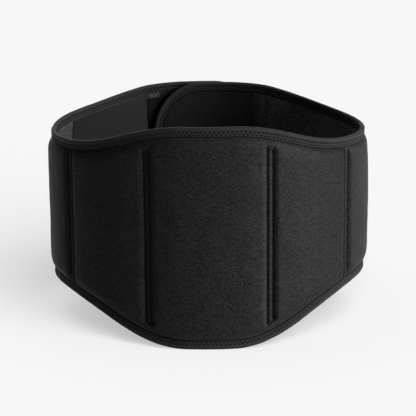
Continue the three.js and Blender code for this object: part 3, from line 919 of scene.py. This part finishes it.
class Shader:
    """A material and short ways to add its nodes, in the cloth's own millimetres."""

    def __init__(self, name):
        self.material = bpy.data.materials.new(name)
        self.material.use_nodes = True
        self.tree = self.material.node_tree
        self.bsdf = next(n for n in self.tree.nodes if n.type == "BSDF_PRINCIPLED")

    def node(self, kind, inputs=(), **settings):
        made = self.tree.nodes.new(kind)
        for key, value in settings.items():
            setattr(made, key, value)
        for key, value in dict(inputs).items():
            if isinstance(value, bpy.types.NodeSocket):
                self.tree.links.new(value, made.inputs[key])
            else:
                made.inputs[key].default_value = value
        return made

    def math(self, operation, a, b=0.0):
        return self.node("ShaderNodeMath", {0: a, 1: b}, operation=operation).outputs[0]

    def wave(self, x, pitch):
        """Sine of a length in millimetres, from 0 to 1."""
        turned = self.math("SINE", self.math("MULTIPLY", x, 2 * math.pi / pitch))
        return self.math("ADD", self.math("MULTIPLY", turned, 0.5), 0.5)

    def cloth(self):
        """The cloth coordinates as a vector, and the first two of them. The third is the painted
        shade.
        """
        place = self.node("ShaderNodeAttribute", attribute_name="cloth").outputs["Vector"]
        split = self.node("ShaderNodeSeparateXYZ", {0: place})
        self.shade = split.outputs[2]
        return place, split.outputs[0], split.outputs[1]

    def grain(self, place, stretch, scale, detail=2.0):
        """Uneven pattern over the cloth, from 0 to 1."""
        stretched = {0: place, 1: stretch}
        moved = self.node("ShaderNodeVectorMath", stretched, operation="MULTIPLY").outputs[0]
        inputs = {"Vector": moved, "Scale": scale, "Detail": detail, "Roughness": 0.6}
        return self.node("ShaderNodeTexNoise", inputs).outputs[0]

    def blend(self, share, low, high):
        """Colour between two, by a share."""
        mix = self.node("ShaderNodeMix", data_type="RGBA")
        for index, colour in ((6, low), (7, high)):
            if isinstance(colour, tuple):
                mix.inputs[index].default_value = (*colour, 1)
            else:
                self.tree.links.new(colour, mix.inputs[index])
        self.tree.links.new(share, mix.inputs[0])
        return mix.outputs[2]

    def finish(self, colour, height, distance, bump, roughness, sheen, sheen_roughness, specular):
        """Connect the colour, darkened by the painted shade, and a bump, and set the gloss."""
        inputs = {"Strength": bump, "Distance": distance, "Height": height}
        made = self.node("ShaderNodeBump", inputs)
        shaded = self.blend(self.shade, colour, DARKEST)
        self.tree.links.new(made.outputs[0], self.bsdf.inputs["Normal"])
        self.tree.links.new(shaded, self.bsdf.inputs["Base Color"])
        self.bsdf.inputs["Roughness"].default_value = roughness
        self.bsdf.inputs["Sheen Weight"].default_value = sheen
        self.bsdf.inputs["Sheen Roughness"].default_value = sheen_roughness
        self.bsdf.inputs["Specular IOR Level"].default_value = specular
        return self.material


def woven(name, light, inner, pitch, slant, look, gains):
    """Woven cloth: twill ribs at a slant, crossing ribs, uneven rows, yarns and random speckle.

    light is the palest yarn of the outer face, and inner how much paler the inner face is: painted
    light on the inner face where inner is above 1, painted shade where it is below 1. look holds
    bump, roughness, sheen and specular. gains holds how much the ribs, the crossing ribs, the
    uneven rows, the yarns, the speckle and the worn patches change the colour.
    """
    shade = Shader(name)
    place, x, y = shade.cloth()
    slanted = shade.math("MULTIPLY", x, slant)
    ribs = shade.wave(shade.math("ADD", slanted, y), pitch)
    cross = shade.wave(shade.math("SUBTRACT", slanted, y), pitch * 0.93)
    rows = shade.grain(place, (0.08, 1.0, 1.0), 0.9, 1.0)
    yarn = shade.grain(place, (0.4, 1.0, 1.0), 1.0, 3.0)
    cells = shade.node("ShaderNodeTexVoronoi", {"Vector": place, "Scale": 1.5})
    speckle = shade.node("ShaderNodeSeparateColor", {0: cells.outputs["Color"]}).outputs[0]
    speckle = shade.math("MULTIPLY", shade.math("SUBTRACT", speckle, 0.5), 0.8)
    speckle = shade.math("ADD", speckle, shade.grain(place, (1.2, 1.0, 1.0), 1.1, 0.0))
    worn = shade.grain(place, (1.0, 1.0, 1.0), 0.035, 2.0)
    tone = 0.5
    for part, gain in zip((ribs, cross, rows, yarn, speckle, worn), gains):
        change = shade.math("MULTIPLY", shade.math("SUBTRACT", part, 0.5), gain)
        tone = shade.math("ADD", tone, change)
    height = shade.math("MULTIPLY", ribs, 0.12)
    height = shade.math("ADD", height, shade.math("MULTIPLY", yarn, 0.25))
    height = shade.math("ADD", height, shade.math("MULTIPLY", speckle, 0.3))
    faces = []
    # The inner face is a paler or darker copy of the outer one: painted light or painted shade, as
    # inner says
    for pale in (light, light * inner):
        dark = (pale * 0.08, pale * 0.08, pale * 0.08)
        faces.append(shade.blend(tone, dark, (pale, pale * 0.995, pale * 0.985)))
    inside = shade.math("GREATER_THAN", x, INNER_FACE / 2)
    colour = shade.blend(inside, *faces)
    bump, roughness, sheen, specular = look
    return shade.finish(colour, height, 0.00035, bump, roughness, sheen, 0.45, specular)


def hook_tape():
    """Black hook tape: rows of random cells, its black darkened further as painted shade of the
    flap that laps over it.
    """
    shade = Shader("hook_tape")
    place, x, y = shade.cloth()
    inputs = {"Vector": place, "Scale": 0.9, "Randomness": 0.75}
    cells = shade.node("ShaderNodeTexVoronoi", inputs)
    rows = shade.wave(x, 1.6)
    height = shade.math("SUBTRACT", shade.math("MULTIPLY", rows, 0.4), cells.outputs[0])
    colour = shade.blend(shade.math("ADD", height, 0.6), DARKEST, (0.0035, 0.0035, 0.0035))
    return shade.finish(colour, height, 0.0009, 1.0, 0.7, 0.01, 0.4, 0.04)


# Coordinate across the tape from which it counts as its inner half, which is darker: painted shade
TAPE_INNER_HALF = 10.5


def ribbed_tape():
    """Ribbed edge tape, worn in patches, with painted shade on its inner half."""
    shade = Shader("ribbed_tape")
    place, x, y = shade.cloth()
    ribs = shade.wave(x, 0.95)
    slant = shade.wave(shade.math("ADD", x, y), 1.9)
    uneven = shade.grain(place, (1.0, 0.6, 1.0), 1.1, 3.0)
    worn = shade.grain(place, (1.0, 1.0, 1.0), 0.12, 2.0)
    height = shade.math("MULTIPLY", ribs, 0.5)
    height = shade.math("ADD", height, shade.math("MULTIPLY", slant, 0.2))
    height = shade.math("ADD", height, shade.math("MULTIPLY", uneven, 0.5))
    tone = shade.math("ADD", shade.math("MULTIPLY", height, 0.6), shade.math("MULTIPLY", worn, 0.4))
    tone = shade.math("SUBTRACT", tone, 0.1)
    # The inner half is a darker copy of the outer half: painted shade
    outer = shade.blend(tone, (0.0022, 0.0022, 0.0022), (0.0195, 0.0195, 0.0193))
    inner = shade.blend(tone, (0.0011, 0.0011, 0.0011), (0.0105, 0.0105, 0.0105))
    inside = shade.math("GREATER_THAN", y, TAPE_INNER_HALF)
    colour = shade.blend(inside, outer, inner)
    return shade.finish(colour, height, 0.0003, 0.9, 0.6, 0.02, 0.4, 0.06)


def twisted_thread():
    """Twisted sewing thread."""
    shade = Shader("thread")
    place, x, y = shade.cloth()
    twist = shade.wave(shade.math("ADD", x, shade.math("MULTIPLY", y, 0.6)), 0.55)
    fuzz = shade.grain(place, (1.0, 1.0, 1.0), 2.5)
    height = shade.math("MULTIPLY", twist, 0.7)
    height = shade.math("ADD", height, shade.math("MULTIPLY", fuzz, 0.3))
    colour = shade.blend(height, (0.002, 0.002, 0.0021), (0.012, 0.012, 0.0125))
    return shade.finish(colour, height, 0.0001, 0.8, 0.55, 0.03, 0.4, 0.08)


SHELL_RIBS = (2.85, -0.6)
SHELL_LOOK = (0.7, 0.6, 0.03, 0.06)
SHELL_GAINS = (0.25, 0.0, 1.6, 0.1, 3.0, 0.5)
CHANNEL_GAINS = (0.25, 0.0, 0.3, 0.1, 3.0, 0.3)
CLOSURE_GAINS = (0.3, 0.0, 0.3, 0.5, 6.0, 1.0)
TAB_LOOK = (0.6, 0.7, 0.04, 0.05)
TAB_GAINS = (0.1, 0.0, 0.2, 0.8, 4.0, 0.5)
LINING_LOOK = (0.6, 0.7, 0.04, 0.06)
LINING_GAINS = (3.0, 1.2, 0.1, 0.3, 3.0, 1.2)
# The second number scales the inner face's colour: painted light above 1, painted shade below 1
SHELL = woven("shell_cloth", 0.0108, 2.4, *SHELL_RIBS, SHELL_LOOK, SHELL_GAINS)
CHANNEL_CLOTH = woven("channel_cloth", 0.0108, 2.2, *SHELL_RIBS, SHELL_LOOK, CHANNEL_GAINS)
CLOSURE_CLOTH = woven("closure_cloth", 0.0108, 0.45, *SHELL_RIBS, SHELL_LOOK, CLOSURE_GAINS)
TAB_CLOTH = woven("tab_cloth", 0.009, 0.47, 2.2, 0.6, TAB_LOOK, TAB_GAINS)
LINING_CLOTH = woven("lining_cloth", 0.0112, 1.0, 2.9, 1.0, LINING_LOOK, LINING_GAINS)
HOOK = hook_tape()
TAPE = ribbed_tape()
THREAD_LOOK = twisted_thread()

# Word in a piece's key, its material and its slot. The last row that fits a key counts
LOOKS = [
    ("pad", SHELL, "shell_fabric"),
    ("panel", SHELL, "shell_fabric"),
    ("closure_panel", CLOSURE_CLOTH, "shell_fabric"),
    ("stay_channel", CHANNEL_CLOTH, "channel_fabric"),
    ("end_tab", TAB_CLOTH, "tab_fabric"),
    ("lining", LINING_CLOTH, "lining"),
    ("hook", HOOK, "hook"),
    ("edge_tape", TAPE, "edge_tape"),
    ("stitches", THREAD_LOOK, "edge_tape"),
]
for key, obj in pieces.items():
    for word, look, slot in LOOKS:
        if word in key:
            chosen = (look, slot)
    obj.data.materials.append(chosen[0])
    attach(obj, "root")
    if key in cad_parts:
        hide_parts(key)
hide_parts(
    "binding_top",
    "binding_bottom",
    "binding_end_left",
    "binding_end_right",
)

# ---- Floor, light and camera

FLOOR_HALF = 12.0


def floor_piece():
    """Pale floor without a gloss."""
    corners = [(x * FLOOR_HALF, y * FLOOR_HALF, 0) for x, y in ((-1, -1), (1, -1), (1, 1), (-1, 1))]
    mesh = bpy.data.meshes.new("floor")
    mesh.from_pydata(corners, [], [(0, 1, 2, 3)])
    obj = bpy.data.objects.new("floor", mesh)
    bpy.context.scene.collection.objects.link(obj)
    shade = Shader("pale_floor")
    shade.bsdf.inputs["Base Color"].default_value = (0.8, 0.8, 0.8, 1)
    shade.bsdf.inputs["Roughness"].default_value = 0.9
    shade.bsdf.inputs["Specular IOR Level"].default_value = 0.0
    obj.data.materials.append(shade.material)
    return obj


def collection(name, objects):
    made = bpy.data.collections.new(name)
    for obj in objects:
        made.objects.link(obj)
    return made


LAMP_PLACE = (0, 0, 0.1)


def lamp(name, azimuth, elevation, energy, spread, receivers):
    """Sun on the receivers: azimuth is from -Y towards +X, and the angles are in degrees."""
    data = bpy.data.lights.new(name, "SUN")
    data.energy = energy
    if spread is not None:
        data.angle = math.radians(spread)
    obj = bpy.data.objects.new(name, data)
    obj.location = LAMP_PLACE
    obj.rotation_euler = (math.pi / 2 - math.radians(elevation), 0, math.radians(azimuth))
    obj.light_linking.receiver_collection = receivers
    bpy.context.scene.collection.objects.link(obj)
    return obj


floor = floor_piece()
floor_only = collection("floor_only", [floor])
belt_only = collection("belt_only", pieces.values())
flank_only = collection("flank_only", [pieces["flank_pad_right"]])
lining_only = collection("lining_only", [pieces["lining_left"]])
inner_names = ("side_pad_right", "stay_channel_side_right", "front_panel_right", "edge_tape")
inner_only = collection("inner_only", [pieces[name] for name in inner_names])
own_key = ("flank_pad_right", "lining_left")
key_only = collection("key_only", [obj for key, obj in pieces.items() if key not in own_key])
lamp("floor_key", 25, 38, 1.82, 60, floor_only)
lamp("floor_side", 51, 25, 0.67, 60, floor_only)
lamp("floor_overhead", 0, 88, 0.55, 80, floor_only)
fill = lamp("floor_fill", 0, 90, 1.61, None, floor_only)
fill.light_linking.blocker_collection = floor_only
lamp("belt_key", 72, 12, 14.0, 34, key_only)
lamp("belt_fill", -60, 50, 0.38, 40, belt_only)
lamp("inner_fill", -78, 58, 0.9, 40, inner_only)
lamp("belt_rim", -160, 6, 0.8, 40, belt_only)
lamp("flank_key", 54, 12, 12.0, 34, flank_only)
lamp("lining_key", 25, 32, 9.0, 34, lining_only)
back = lamp("belt_back", 172, 10, 6.0, 40, belt_only)
back.visible_glossy = False

WORLD_STRENGTH = 0.03
world = bpy.data.worlds.new("studio")
world.use_nodes = True
background = world.node_tree.nodes["Background"]
background.inputs[0].default_value = (1, 1, 1, 1)
background.inputs[1].default_value = WORLD_STRENGTH
bpy.context.scene.world = world

# Camera, fitted to the photo. The focal length is in pixels of its square picture
CAMERA_TILT = math.radians(16.21)
CAMERA_DISTANCE = 1.313
CAMERA_AIM = 0.10516
CAMERA_X = -0.0006
CAMERA_ROLL = math.radians(0.52)
FOCAL_PIXELS = 1313.7
PICTURE_PIXELS = 416
SENSOR_WIDTH = 36
camera = bpy.data.objects.new("camera", bpy.data.cameras.new("camera"))
camera.data.sensor_width = SENSOR_WIDTH
camera.data.lens = SENSOR_WIDTH * FOCAL_PIXELS / PICTURE_PIXELS
camera.location = (
    CAMERA_X,
    -CAMERA_DISTANCE * math.cos(CAMERA_TILT),
    CAMERA_AIM + CAMERA_DISTANCE * math.sin(CAMERA_TILT),
)
camera.rotation_euler = (math.pi / 2 - CAMERA_TILT, 0, 0)
level_look = camera.rotation_euler.to_matrix()
camera.rotation_euler = (level_look @ Matrix.Rotation(-CAMERA_ROLL, 3, "Z")).to_euler()
bpy.context.scene.collection.objects.link(camera)
bpy.context.scene.camera = camera
bpy.context.scene.view_settings.view_transform = "Standard"
